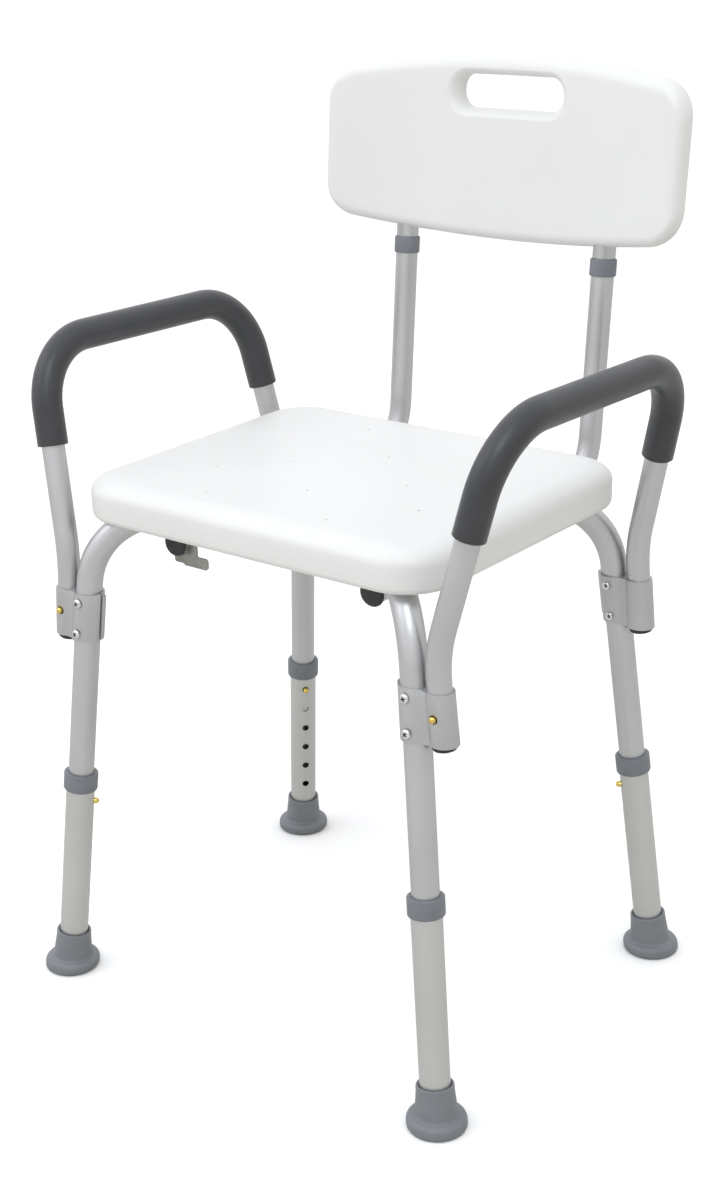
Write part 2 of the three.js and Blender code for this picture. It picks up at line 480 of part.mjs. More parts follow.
// open channels in the underside that take the crossing tubes
const CHANNEL_R = 14.5;
function channel(r, n) {
  const ball = new THREE.SphereGeometry(r, n, n / 2).rotateX(Math.PI / 2);
  const spread = (p, dz) => {
    const q = ball.attributes.position, out = [];
    for (let i = 0; i < q.count; i++)
      out.push(V(q.getX(i) + p.x, q.getY(i) + p.y, q.getZ(i) + p.z + dz));
    return out;
  };
  const parts = [];
  for (const sx of [-1, 1]) {
    const path = framePath(sx).path.filter((p) => p.z > 462);
    const high = path.filter((p) => p.z > CROSS_Z - 1);
    const runs = [[high[0], high[high.length - 1]]];
    for (let i = 0; i + 1 < path.length; i++)
      if (Math.min(path[i].z, path[i + 1].z) < CROSS_Z - 1) runs.push([path[i], path[i + 1]]);
    for (const [a, b] of runs)
      parts.push({ geometry: new ConvexGeometry(
        [...spread(a, 0), ...spread(b, 0), ...spread(a, -34), ...spread(b, -34)]) });
  }
  // wider pocket where the tubes are pressed flat
  const wide = 48 + r - CHANNEL_R, top = CROSS_Z + r;
  parts.push(drum(V(0, 0, top - 60), V(0, 0, top), wide, 16));
  return join(...parts);
}
{
  const drains = [[0, 62], [0, -62], [68, 0], [-68, 0], [119, 52], [-119, 52], [119, -52],
    [-119, -52], [70, 122], [-70, 122], [70, -122], [-70, -122]];
  const posts = (r) => drains.map(([x, y]) => drum(V(x, y, 470), V(x, y, 550), r, 6));
  const cavity = cut(seatSlab(SEAT_WALL, SEAT_Z0 + SEAT_WALL, SEAT_Z1 - SEAT_WALL, 17, 10.5, 4),
    channel(CHANNEL_R + SEAT_WALL, FEW), ...posts(6), drum(V(0, 0, 480), V(0, 0, 540), 9, FEW));
  const vents = [-150, 150].map((x) => drum(V(x, 0, 484), V(x, 0, 498), 2.5, 6));
  add("seat_panel", cut(seatSlab(0, SEAT_Z0, SEAT_Z1, 21, 14, 7), cavity, ...vents,
    channel(CHANNEL_R, FEW), ...posts(2.6), drum(V(0, 0, 500), V(0, 0, 516), 3.3, FEW)), "plastic");
  // centre bolt up through both flattened tubes into the seat's boss
  const low = CROSS_Z - STEP_Z - FLAT_H - 0.3;
  add("centre_bolt", turned([[0, low - 4.4], [4.6, low - 4.2], [5.8, low - 2.6], [5.8, low - 1.4],
    [8.5, low - 1.4], [8.5, low], [3, low], [3, 515], [0, 515]], V(0, 0, 0), V(0, 0, 1), FEW),
    "chrome");
}

// ---------------------------------------------------------------- back panel
// A hollow slab: x across, y through, z up; bowed forward at its ends and leaned with the tubes.
const bowed = ([x, y, z]) =>
  V(x, y + PANEL_SET - PANEL_BOW * (x / PANEL_HX) ** 2 + backY(z), z);
const EDGE_R = 11.5, CORNER_R = 30;
function panelSlab(inset) {
  const hx = PANEL_HX - inset, er = EDGE_R - inset * 0.6, cr = CORNER_R - inset;
  const bite = (d, r) => (d < r ? r - Math.sqrt(Math.max(r * r - (r - d) ** 2, 0)) : 0);
  const ends = [0, 0.8, 3.2, 8, 16, 28];
  const xs = [...ends.map((e) => e - hx), -128, -78, -26, 26, 78, 128,
    ...ends.map((e) => hx - e).reverse()];
  return skin(xs.map((x) => {
    const d = hx - Math.abs(x), top = PANEL_TOP - PANEL_CROWN_T * (x / PANEL_HX) ** 2 - inset;
    const low = PANEL_BOTTOM + PANEL_CROWN_B * (x / PANEL_HX) ** 2 + inset;
    const hz = (top - low) / 2 - bite(d, cr), hy = PANEL_T / 2 - inset - bite(d, er);
    const r = Math.min(er, hy * 0.96);
    return roundRect(hy, hz, r, 3).map(([y, z]) => bowed([x, y, z + (top + low) / 2]));
  }));
}
function slotCut(grow) {
  const reach = grow ? 1.35 : 1.2;
  const rows = [-reach, -1, -0.82, -0.4, 0.4, 0.82, 1, reach].map((k) => {
    const e = Math.min(Math.abs(k), 1), lip = 8 * (1 - Math.sqrt(1 - e * e * 0.98));
    const r = SLOT_HZ + lip + grow, y = (PANEL_T / 2) * k;
    const rim = roundRect(SLOT_HX + 1.25 * lip + grow, r, r * 0.96, 4);
    // extra points on the long sides let the cut follow the panel's bow
    const side = (z) => [28, 0, -28].map((x) => [x * Math.sign(z), z]);
    const all = [...rim.slice(0, 5), ...side(r), ...rim.slice(5, 15), ...side(-r), ...rim.slice(15)];
    return all.map(([x, z]) => bowed([x, y, z + SLOT_Z]));
  });
  return skin(rows);
}
{
  const WALL = 3.4;
  const sockets = [-1, 1].map((sx) =>
    drum(backAt(sx, 680), backAt(sx, INSERT_TOP + 3), bore(BACK_OD / 2 + 0.2)));
  add("back_panel", cut(panelSlab(0), cut(panelSlab(WALL), slotCut(WALL)), slotCut(0), ...sockets),
    "plastic");
}

export default group;
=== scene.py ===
# Shower chair: a moulded seat and back, tube frame, telescopic feet and padded arms.
import math
import bmesh
import bpy
from mathutils import Matrix, Vector


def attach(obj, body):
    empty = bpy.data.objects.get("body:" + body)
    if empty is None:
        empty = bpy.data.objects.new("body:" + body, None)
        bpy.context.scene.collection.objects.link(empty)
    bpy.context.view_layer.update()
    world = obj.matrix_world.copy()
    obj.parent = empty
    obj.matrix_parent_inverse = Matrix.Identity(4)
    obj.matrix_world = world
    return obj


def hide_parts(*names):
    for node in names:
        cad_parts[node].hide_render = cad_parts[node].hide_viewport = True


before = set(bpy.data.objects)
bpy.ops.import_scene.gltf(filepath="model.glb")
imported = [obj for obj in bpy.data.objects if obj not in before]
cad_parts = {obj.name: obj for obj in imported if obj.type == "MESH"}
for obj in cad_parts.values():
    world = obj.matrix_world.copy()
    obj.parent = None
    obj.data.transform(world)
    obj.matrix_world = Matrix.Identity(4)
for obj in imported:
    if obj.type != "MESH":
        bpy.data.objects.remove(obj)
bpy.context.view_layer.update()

MM = 0.001  # the shapes below are in millimetres; meshes are made in metres


def V(x, y, z):
    return Vector((x, y, z))


# ------------------------------------------------------------------ driving dimensions (mm)
# drawn about the middle of the four feet, then moved by MIDDLE_Y to the chair's own origin
MIDDLE_Y = 34.195
FOOT_X, FOOT_Y, SPLAY_X, SPLAY_Y = 236, 192, 0.1017, 0.073
LEG_OD, LEG_WALL, FOOT_OD, FOOT_WALL = 25.4, 1.2, 28.6, 1.3
CROSS_Z, FRAME_BEND, FRAME_LOW_Z = 492.6, 75, 160
FOOT_TUBE_TOP, LEG_COLLAR_Z = 222, 206.8
HOLE_PITCH, HOLE_COUNT, HOLE_D, LEG_BUTTON_Z = 25.4, 6, 7.5, 193.5
SEAT_HX, SEAT_HY, SEAT_Y, SEAT_Z0, SEAT_Z1, SEAT_R = 204, 168, 1.4, 491, 529.5, 49
SEAT_DISH, SEAT_ROLL_X, SEAT_ROLL_Z, SEAT_LOW_R = 3.6, 21, 14, 7
BACK_X, BACK_OD, BACK_WALL, BACK_Y600, BACK_LEAN = 116.4, 22.2, 1.2, 243.8, 0.0888
RAIL_Z, RAIL_FRONT = 468.6, -117.5
ARM_OD, ARM_WALL, GRIP_OD, ARM_OFF, ARM_YF, ARM_YR = 22.2, 1.2, 29.4, 26.4, -162.4, 161.4
BRACKET_Z, BRACKET_H, BOLT_W, ARM_PIN_Z = 393.8, 48, (15.6, -15.6), 396
PANEL_HX, PANEL_TOP, PANEL_BOTTOM, PANEL_T = 204, 870.2, 698.6, 29
PANEL_CROWN_T, PANEL_CROWN_B, PANEL_BOW, PANEL_SET = 17, 16.5, 25, 7.5
PANEL_EDGE_R, PANEL_CORNER_R = 11.5, 30
SLOT_Z, SLOT_HX, SLOT_HZ, SLOT_LIP = 836, 60, 15.6, 8
CORNERS = (("fl", -1, -1), ("fr", 1, -1), ("rl", -1, 1), ("rr", 1, 1))
ROUND = 48  # facets round a tube


# ------------------------------------------------------------------ materials
def node_material(name, color, rough, metallic=0.0, tint=None, patch=30.0, rough_vary=0.08,
                  grain=(900.0, 900.0, 900.0), grain_depth=0.00002, sockets=None):
    """Principled surface: soft colour patches, uneven roughness and a fine surface grain."""
    mat = bpy.data.materials.new(name)
    mat.use_nodes = True
    nt = mat.node_tree
    bsdf = nt.nodes["Principled BSDF"]
    bsdf.inputs["Metallic"].default_value = metallic
    for key, value in (sockets or {}).items():
        bsdf.inputs[key].default_value = value
    where = nt.nodes.new("ShaderNodeTexCoord")
    cloud = nt.nodes.new("ShaderNodeTexNoise")
    cloud.inputs["Scale"].default_value = patch
    cloud.inputs["Detail"].default_value = 4
    nt.links.new(where.outputs["Object"], cloud.inputs["Vector"])
    ramp = nt.nodes.new("ShaderNodeValToRGB")
    ramp.color_ramp.elements[0].position, ramp.color_ramp.elements[1].position = 0.3, 0.7
    ramp.color_ramp.elements[0].color = (*color, 1)
    ramp.color_ramp.elements[1].color = (*(tint or color), 1)
    nt.links.new(cloud.outputs["Fac"], ramp.inputs["Fac"])
    nt.links.new(ramp.outputs["Color"], bsdf.inputs["Base Color"])
    stretch = nt.nodes.new("ShaderNodeMapping")
    stretch.inputs["Scale"].default_value = grain
    nt.links.new(where.outputs["Object"], stretch.inputs["Vector"])
    fine = nt.nodes.new("ShaderNodeTexNoise")
    fine.inputs["Scale"].default_value = 1.0
    fine.inputs["Detail"].default_value = 3
    nt.links.new(stretch.outputs["Vector"], fine.inputs["Vector"])
    mix = nt.nodes.new("ShaderNodeMath")
    mix.operation = "MULTIPLY_ADD"
    mix.inputs[1].default_value = 0.5
    nt.links.new(fine.outputs["Fac"], mix.inputs[0])
    nt.links.new(cloud.outputs["Fac"], mix.inputs[2])
    span = nt.nodes.new("ShaderNodeMapRange")
    span.inputs["From Min"].default_value, span.inputs["From Max"].default_value = 0.45, 1.05
    span.inputs["To Min"].default_value = max(rough - rough_vary, 0.02)
    span.inputs["To Max"].default_value = min(rough + rough_vary, 1.0)
    nt.links.new(mix.outputs["Value"], span.inputs["Value"])
    nt.links.new(span.outputs["Result"], bsdf.inputs["Roughness"])
    bump = nt.nodes.new("ShaderNodeBump")
    bump.inputs["Strength"].default_value = 1.0
    bump.inputs["Distance"].default_value = grain_depth
    nt.links.new(fine.outputs["Fac"], bump.inputs["Height"])
    nt.links.new(bump.outputs["Normal"], bsdf.inputs["Normal"])
    return mat


MATS = {
    "tube": node_material("anodised_tube", (0.53, 0.532, 0.543), 0.36, 0.88,
                          tint=(0.57, 0.572, 0.583), patch=14, rough_vary=0.06,
                          grain=(1500, 1500, 60), grain_depth=0.000008),
    "foot_tube": node_material("anodised_outer_tube", (0.56, 0.56, 0.552), 0.40, 0.84,
                               tint=(0.60, 0.60, 0.592), patch=14, rough_vary=0.06,
                               grain=(1500, 1500, 60), grain_depth=0.000008),
    "bracket": node_material("bracket_metal", (0.47, 0.473, 0.478), 0.45, 0.75,
                             tint=(0.51, 0.51, 0.515), patch=60, rough_vary=0.07,
                             grain=(1800, 1800, 500), grain_depth=0.00001),
    "plastic": node_material("moulded_white", (0.715, 0.713, 0.700), 0.45, 0.0,
                             tint=(0.735, 0.733, 0.722), patch=9, rough_vary=0.07,
                             grain=(1100, 1100, 1100), grain_depth=0.000015,
                             sockets={"Subsurface Weight": 0.12, "Subsurface Scale": 0.006,
                                      "Subsurface Radius": (1.0, 0.9, 0.75)}),
    "grip": node_material("grip_foam", (0.030, 0.031, 0.034), 0.36, 0.0,
                          tint=(0.038, 0.039, 0.043), patch=35, rough_vary=0.08,
                          grain=(1300, 1300, 1300), grain_depth=0.00006,
                          sockets={"Sheen Weight": 0.12, "Sheen Roughness": 0.4,
                                   "Sheen Tint": (0.8, 0.88, 1.0, 1.0)}),
    "collar": node_material("collar_plastic", (0.147, 0.158, 0.176), 0.45, 0.0,
                            tint=(0.18, 0.194, 0.216), patch=70, rough_vary=0.08,
                            grain=(1600, 1600, 1600), grain_depth=0.00003),
    "foot": node_material("foot_rubber", (0.165, 0.176, 0.193), 0.42, 0.0,
                          tint=(0.185, 0.196, 0.213), patch=50, rough_vary=0.1,
                          grain=(1400, 1400, 1400), grain_depth=0.00005),
    "brass": node_material("brass_pin", (0.80, 0.60, 0.17), 0.12, 1.0,
                           tint=(0.70, 0.50, 0.13), patch=200, rough_vary=0.08,
                           grain=(2500, 2500, 2500), grain_depth=0.00001),
    "black": node_material("black_cap", (0.012, 0.012, 0.013), 0.4, 0.0,
                           tint=(0.02, 0.02, 0.021), patch=120, rough_vary=0.1,
                           grain=(1800, 1800, 1800), grain_depth=0.00002),
    "chrome": node_material("bright_screw", (0.78, 0.79, 0.80), 0.14, 1.0,
                            tint=(0.70, 0.71, 0.72), patch=160, rough_vary=0.05,
                            grain=(2500, 2500, 2500), grain_depth=0.000008),
    "plate": node_material("zinc_plate", (0.30, 0.295, 0.275), 0.5, 0.75,
                           tint=(0.38, 0.375, 0.35), patch=180, rough_vary=0.12,
                           grain=(1200, 1200, 1200), grain_depth=0.00002),
}


# ------------------------------------------------------------------ shape helpers
def bent(corners):
    """Polyline with rounded inner corners, from [(point, radius, steps), ...]."""
    out = [corners[0][0].copy()]
    for i in range(1, len(corners) - 1):
        c, r, steps = corners[i]
        d1 = (c - corners[i - 1][0]).normalized()
        d2 = (corners[i + 1][0] - c).normalized()
        turn = math.acos(max(-1, min(1, d1.dot(d2))))
        side = (d2 - d1 * d1.dot(d2)).normalized()
        hub = c - d1 * (r * math.tan(turn / 2)) + side * r
        for k in range(steps + 1):
            t = turn * k / steps
            out.append(hub - side * (r * math.cos(t)) + d1 * (r * math.sin(t)))
    out.append(corners[-1][0].copy())
    return out


def frames(path, u0=None):
    """Section axes carried along a path without twist: [(point, tangent, u, v), ...]."""
    out, u = [], u0
    for i, p in enumerate(path):
        a, b = path[max(i - 1, 0)], path[min(i + 1, len(path) - 1)]
        before, after = p - a, b - p
        if before.length and after.length:
            t = (before.normalized() + after.normalized()).normalized()
        else:
            t = (b - a).normalized()
        if u is None:
            u = V(0, 0, 1) if abs(t.z) < 0.9 else V(0, 1, 0)
        u = (u - t * u.dot(t)).normalized()
        out.append((p, t, u, t.cross(u).normalized()))
    return out


def circle(f, r, n=ROUND):
    p, _, u, v = f
    return [p + u * (r * math.cos(2 * math.pi * j / n)) + v * (r * math.sin(2 * math.pi * j / n))
            for j in range(n)]


def loft(rings, closed=False):
    """Skin through rings of equal length: (vertices, faces)."""
    n = len(rings[0])
    verts = [p for r in rings for p in r]
    faces = []
    for i in range(len(rings) if closed else len(rings) - 1):
        a, b = i * n, (i + 1) % len(rings) * n
        faces += [(a + j, a + (j + 1) % n, b + (j + 1) % n, b + j) for j in range(n)]
    if not closed:
        faces += [tuple(range(n))[::-1], tuple(range((len(rings) - 1) * n, len(rings) * n))]
    return verts, faces


def tube(path, r, wall, n=ROUND, ease=0.35):
    """Hollow tube along a path, its end edges slightly rounded."""
    fs = frames(path)
    first, last = fs[0], fs[-1]

    def shift(f, s):
        return (f[0] + f[1] * s, *f[1:])
    outer = [circle(shift(first, ease), r, n)] + [circle(f, r, n) for f in fs[1:-1]] \
        + [circle(shift(last, -ease), r, n)]
    inner = [circle(f, r - wall, n) for f in reversed(fs)]
    return loft([*outer, circle(last, r - ease, n), *inner, circle(first, r - ease, n)], True)


def standing(origin, axis):
    w = axis.normalized()
    u = V(0, 0, 1) if abs(w.z) < 0.9 else V(1, 0, 0)
    u = (u - w * u.dot(w)).normalized()
    return origin, w, u, w.cross(u)


def turned(profile, origin, axis, n=ROUND):
    """Solid of revolution from [(radius, height), ...]; closes on itself if it starts off axis."""
    o, w, u, v = standing(origin, axis)
    closed = profile[0][0] > 0
    rings = [circle((o + w * h, w, u, v), max(r, 0.02), n) for r, h in profile]
    return loft(rings, closed)


def drum(a, b, r, n=32):
    return turned([(0, 0), (r, 0), (r, (b - a).length), (0, (b - a).length)], a, b - a, n)


def box(x0, x1, y0, y1, z0, z1):
    return loft([[V(x0, y0, z), V(x1, y0, z), V(x1, y1, z), V(x0, y1, z)] for z in (z0, z1)])


def corner_arcs(hx, hy, r, steps):
    """The four rounded corners of a rectangle, one list of points each, anticlockwise."""
    quarters = ((1, 1, 0), (-1, 1, 90), (-1, -1, 180), (1, -1, 270))
    return [[(sx * (hx - r) + r * math.cos(math.radians(a0 + 90 * k / steps)),
              sy * (hy - r) + r * math.sin(math.radians(a0 + 90 * k / steps)))
             for k in range(steps + 1)] for sx, sy, a0 in quarters]


def merged(*shapes):
    verts, faces = [], []
    for v, f in shapes:
        k = len(verts)
        verts += v
        faces += [tuple(i + k for i in face) for face in f]
    return verts, faces


def raw(name, shape):
    mesh = bpy.data.meshes.new(name)
    mesh.from_pydata([p * MM for p in shape[0]], [], shape[1])
    bm = bmesh.new()
    bm.from_mesh(mesh)
    bmesh.ops.recalc_face_normals(bm, faces=bm.faces)
    bm.to_mesh(mesh)
    bm.free()
    obj = bpy.data.objects.new(name, mesh)
    bpy.context.scene.collection.objects.link(obj)
    return obj


def bake(obj):
    """Applies every modifier."""
    done = bpy.data.meshes.new_from_object(obj.evaluated_get(bpy.context.evaluated_depsgraph_get()))
    old, obj.data = obj.data, done
    obj.modifiers.clear()
    bpy.data.meshes.remove(old)
    done.name = obj.name


def boolean(obj, shape, op="DIFFERENCE", overlap=False):
    tool = raw("tool", shape)
    mod = obj.modifiers.new("b", "BOOLEAN")
    mod.operation, mod.solver, mod.object = op, "EXACT", tool
    mod.use_self = overlap
    bpy.context.view_layer.update()
    bake(obj)
    bpy.data.objects.remove(tool)


def bevel(obj, width, segments=2, angle=40):
    mod = obj.modifiers.new("e", "BEVEL")
    mod.width, mod.segments, mod.limit_method = width * MM, segments, "ANGLE"
    mod.angle_limit = math.radians(angle)
    bake(obj)


def finish(obj, body, look, *nodes, sharp=38):
    """Shades, colours and hangs a finished piece on its body in place of its CAD nodes."""
    obj.data.transform(Matrix.Translation((0, -MIDDLE_Y * MM, 0)))
    obj.data.shade_smooth()
    obj.data.set_sharp_from_angle(angle=math.radians(sharp))
    obj.data.materials.clear()
    obj.data.materials.append(MATS[look])
    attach(obj, body)
    if nodes:
        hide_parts(*nodes)
    return obj


# ------------------------------------------------------------------ legs and frame
def leg_at(sx, sy, z):
    return V(sx * (FOOT_X - SPLAY_X * z), sy * (FOOT_Y - SPLAY_Y * z), z)


def leg_dir(sx, sy):
    return (leg_at(sx, sy, 1) - leg_at(sx, sy, 0)).normalized()


def inward(sx, sy):
    d, h = leg_dir(sx, sy), V(-sx * FOOT_X, -sy * FOOT_Y, 0)
    return (h - d * h.dot(d)).normalized()


def arm_at(sx, sy, z):
    return V(sx * (FOOT_X - SPLAY_X * z + ARM_OFF), ARM_YF if sy < 0 else ARM_YR, z)


def arm_dir(sx):
    return V(-sx * SPLAY_X, 0, 1).normalized()


def leg_hole(sx, sy, z):
    """Drill for a button hole: it starts inside the tube and comes out through its wall."""
    start, stop = 4, 22
    p, d = leg_at(sx, sy, z), inward(sx, sy)
    return drum(p + d * start, p + d * stop, HOLE_D / 2)


def bolt_at(sx, sy, w):
    return leg_at(sx, sy, BRACKET_Z + w)


def smoothstep(x, lo, hi):
    x = max(0.0, min(1.0, (x - lo) / (hi - lo)))
    return x * x * (3 - 2 * x)


# where the tubes cross: half length and half height and width of the flat, and its step
PINCH, FLAT_H, FLAT_W, STEP_Z = 46, 5.9, 16.6, 6.3


def frame_path(sx, steps):
    ca, cb = leg_at(sx, -1, CROSS_Z), leg_at(-sx, 1, CROSS_Z)
    path = bent([(leg_at(sx, -1, FRAME_LOW_Z), 0, 0), (ca, FRAME_BEND, steps),
                 (cb, FRAME_BEND, steps), (leg_at(-sx, 1, FRAME_LOW_Z), 0, 0)])
    return path, (ca + cb) / 2, (cb - ca).normalized()


def frame_tube(sx, level):
    path, mid, along = frame_path(sx, 18)
    half = len(path) // 2
    path[half:half] = [mid + along * (PINCH * (k / 9 - 1)) for k in range(19)]

    def ring(f, shrink):
        p, _, u, v = f
        d = abs((p - mid).dot(along))
        k = smoothstep(1 - d / PINCH, 0, 0.53) if p.z > CROSS_Z - 1 and d < PINCH else 0
        hw = LEG_OD / 2 + (FLAT_W - LEG_OD / 2) * k - shrink
        hh = LEG_OD / 2 + (FLAT_H - LEG_OD / 2) * k - shrink
        lift = V(0, 0, level * STEP_Z * k)
        return [p + lift + u * (hh * math.cos(2 * math.pi * j / ROUND))
                + v * (hw * math.sin(2 * math.pi * j / ROUND)) for j in range(ROUND)]
    fs = frames(path, -inward(sx, -1))
    return loft([ring(f, 0) for f in fs] + [ring(f, LEG_WALL) for f in reversed(fs)], True)


for name, node, sx, level in (("cross_tube_a", "frame_tube_a", -1, 1),
                              ("cross_tube_b", "frame_tube_b", 1, -1)):
    piece = raw(name, frame_tube(sx, level))
    boolean(piece, merged(leg_hole(sx, -1, LEG_BUTTON_Z), leg_hole(-sx, 1, LEG_BUTTON_Z)))
    finish(piece, "frame", "tube", node)

TUBE_BOTTOM = 11
TIP_OUTSIDE = ((24.4, 0), (26.3, 0.35), (27.4, 1.2), (28.05, 2.4), (28.2, 3.8), (28.2, 7),
               (28.0, 8.4), (27.4, 9.8), (26.5, 10.9), (25.2, 11.8), (23.6, 12.4), (22.2, 12.7),
               (21.2, 13), (20.5, 13.6), (20.1, 14.6), (19.8, 16.4), (19.3, 20.5), (18.5, 29),
               (17.8, 37), (17.75, 40.8), (17.5, 41.8), (17.0, 42.4), (16.2, 42.4), (15.7, 42.1))
TIP_INSIDE = ((14.75, 40.8), (14.65, 38.5), (14.65, 8.4))


def leaf(at, n, axis, face, back, reach, half):
    """Leaf spring of a snap button: a strip folded into a V inside its tube."""
    t, mid, side = 0.8, (face + back) / 2, n.cross(axis).normalized()
    outline = [(face, 5), (face, -5), (mid + 1.3, -reach), (mid - 1.3, -reach), (back, 5),
               (back + t, 5), (mid - 0.6, t - reach), (mid + 0.6, t - reach), (face - t, -5),
               (face - t, 5)]
    return loft([[at + n * a + axis * b + side * s for a, b in outline] for s in (-half, half)])


for cid, sx, sy in CORNERS:
    body, d, n = f"foot_{cid}", leg_dir(sx, sy), inward(sx, sy)
    piece = raw(f"outer_tube_{cid}", tube(
        [leg_at(sx, sy, TUBE_BOTTOM), leg_at(sx, sy, FOOT_TUBE_TOP)], FOOT_OD / 2, FOOT_WALL))
    boolean(piece, merged(*[leg_hole(sx, sy, LEG_BUTTON_Z - k * HOLE_PITCH * d.z)
                            for k in range(HOLE_COUNT)]))
    finish(piece, body, "foot_tube", f"foot_tube_{cid}")

    def tip_ring(rz):
        r, z = rz
        t = V(0, 0, 1).lerp(d, smoothstep(z, 9, 26)).normalized()
        u = (V(1, 0, 0) - t * t.x).normalized()
        return circle((leg_at(sx, sy, z), t, u, t.cross(u)), r, 64)
    piece = raw(f"rubber_foot_{cid}", loft([tip_ring(q) for q in TIP_OUTSIDE + TIP_INSIDE]))
    boolean(piece, turned([(17, -1), (21, -1), (21, 0.8), (20.4, 1.6), (17.6, 1.6), (17, 0.8)],
                          leg_at(sx, sy, 0), V(0, 0, 1)))
    finish(piece, body, "foot", f"foot_tip_{cid}", sharp=30)

    piece = raw(f"sleeve_collar_{cid}", turned(
        [(14.5, 0.2), (15.9, 0), (16.6, 0.5), (17.05, 1.4), (17.1, 2.2), (17.1, 17.2),
         (16.95, 17.9), (16.4, 18.3), (14.6, 18.45), (14.4, 18.7), (14.3, 19), (13.1, 19),
         (12.95, 18.7), (12.95, 15.8), (14.5, 15.8)], leg_at(sx, sy, LEG_COLLAR_Z), d))
    finish(piece, body, "collar", f"leg_collar_{cid}", sharp=30)

    piece = raw(f"spring_pin_{cid}", turned(
        [(0, 8), (4.6, 8), (4.6, 10), (2.9, 10), (2.9, 16.4), (2.8, 17.2), (2.5, 18),
         (2.05, 18.6), (1.4, 19.05), (0.7, 19.27), (0, 19.3)], leg_at(sx, sy, LEG_BUTTON_Z), n))
    boolean(piece, leaf(leg_at(sx, sy, LEG_BUTTON_Z), n, d, 8.05, -4.2, 30, 4), "UNION")
    finish(piece, f"leg_button_{cid}", "brass", f"leg_button_{cid}")

# ------------------------------------------------------------------ clamp brackets and screws
LEG_SLEEVE, ARM_SLEEVE, WAIST, WAIST_IN = 14.9, 13.2, 10.6, 8.0
LEG_BORE, ARM_BORE, BOLT_HOLE_R, PIN_HOLE_R, SLIT = 12.74, 11.16, 2.8, 4.1, 0.8
TAB_REACH, TAB_CORNER, BOLT_FACE = 19.4, 4.5, 15.4
CUT = 5  # how far a cutter passes the ends of the bracket
Z_LOW, Z_HIGH = BRACKET_Z - BRACKET_H / 2, BRACKET_Z + BRACKET_H / 2


def soft_max(a, b, k=0.5):
    h = max(k - abs(a - b), 0) / k
    return max(a, b) + h * h * k / 4


def bracket_outline(span):
    """Two sleeves with a waist: outline from the leg side round to the arm side and back."""
    pts, steps = [], 72
    x0, x1 = -LEG_SLEEVE, span + ARM_SLEEVE
    for i in range(steps + 1):
        x = x0 + (x1 - x0) * (1 - math.cos(math.pi * i / steps)) / 2
        a = math.sqrt(max(LEG_SLEEVE ** 2 - x * x, 0))
        b = math.sqrt(max(ARM_SLEEVE ** 2 - (x - span) ** 2, 0))
        y = soft_max(a, b)
        if 2 < x < span - 2:
            y = soft_max(y, WAIST)
        pts.append((x, y))
    return pts + [(x, -y) for x, y in reversed(pts[1:-1])]


def waist_gap(span, side):
    """Outline of the open gap between the two sleeves on one side of the waist."""
    ys = (WAIST_IN, 7.2, 6.4, 5.7)
    leg = [(math.sqrt(LEG_SLEEVE ** 2 - y * y) + 0.1, y * side) for y in ys]
    arm = [(span - math.sqrt(ARM_SLEEVE ** 2 - y * y) - 0.1, y * side) for y in ys]
    return leg + arm[::-1]


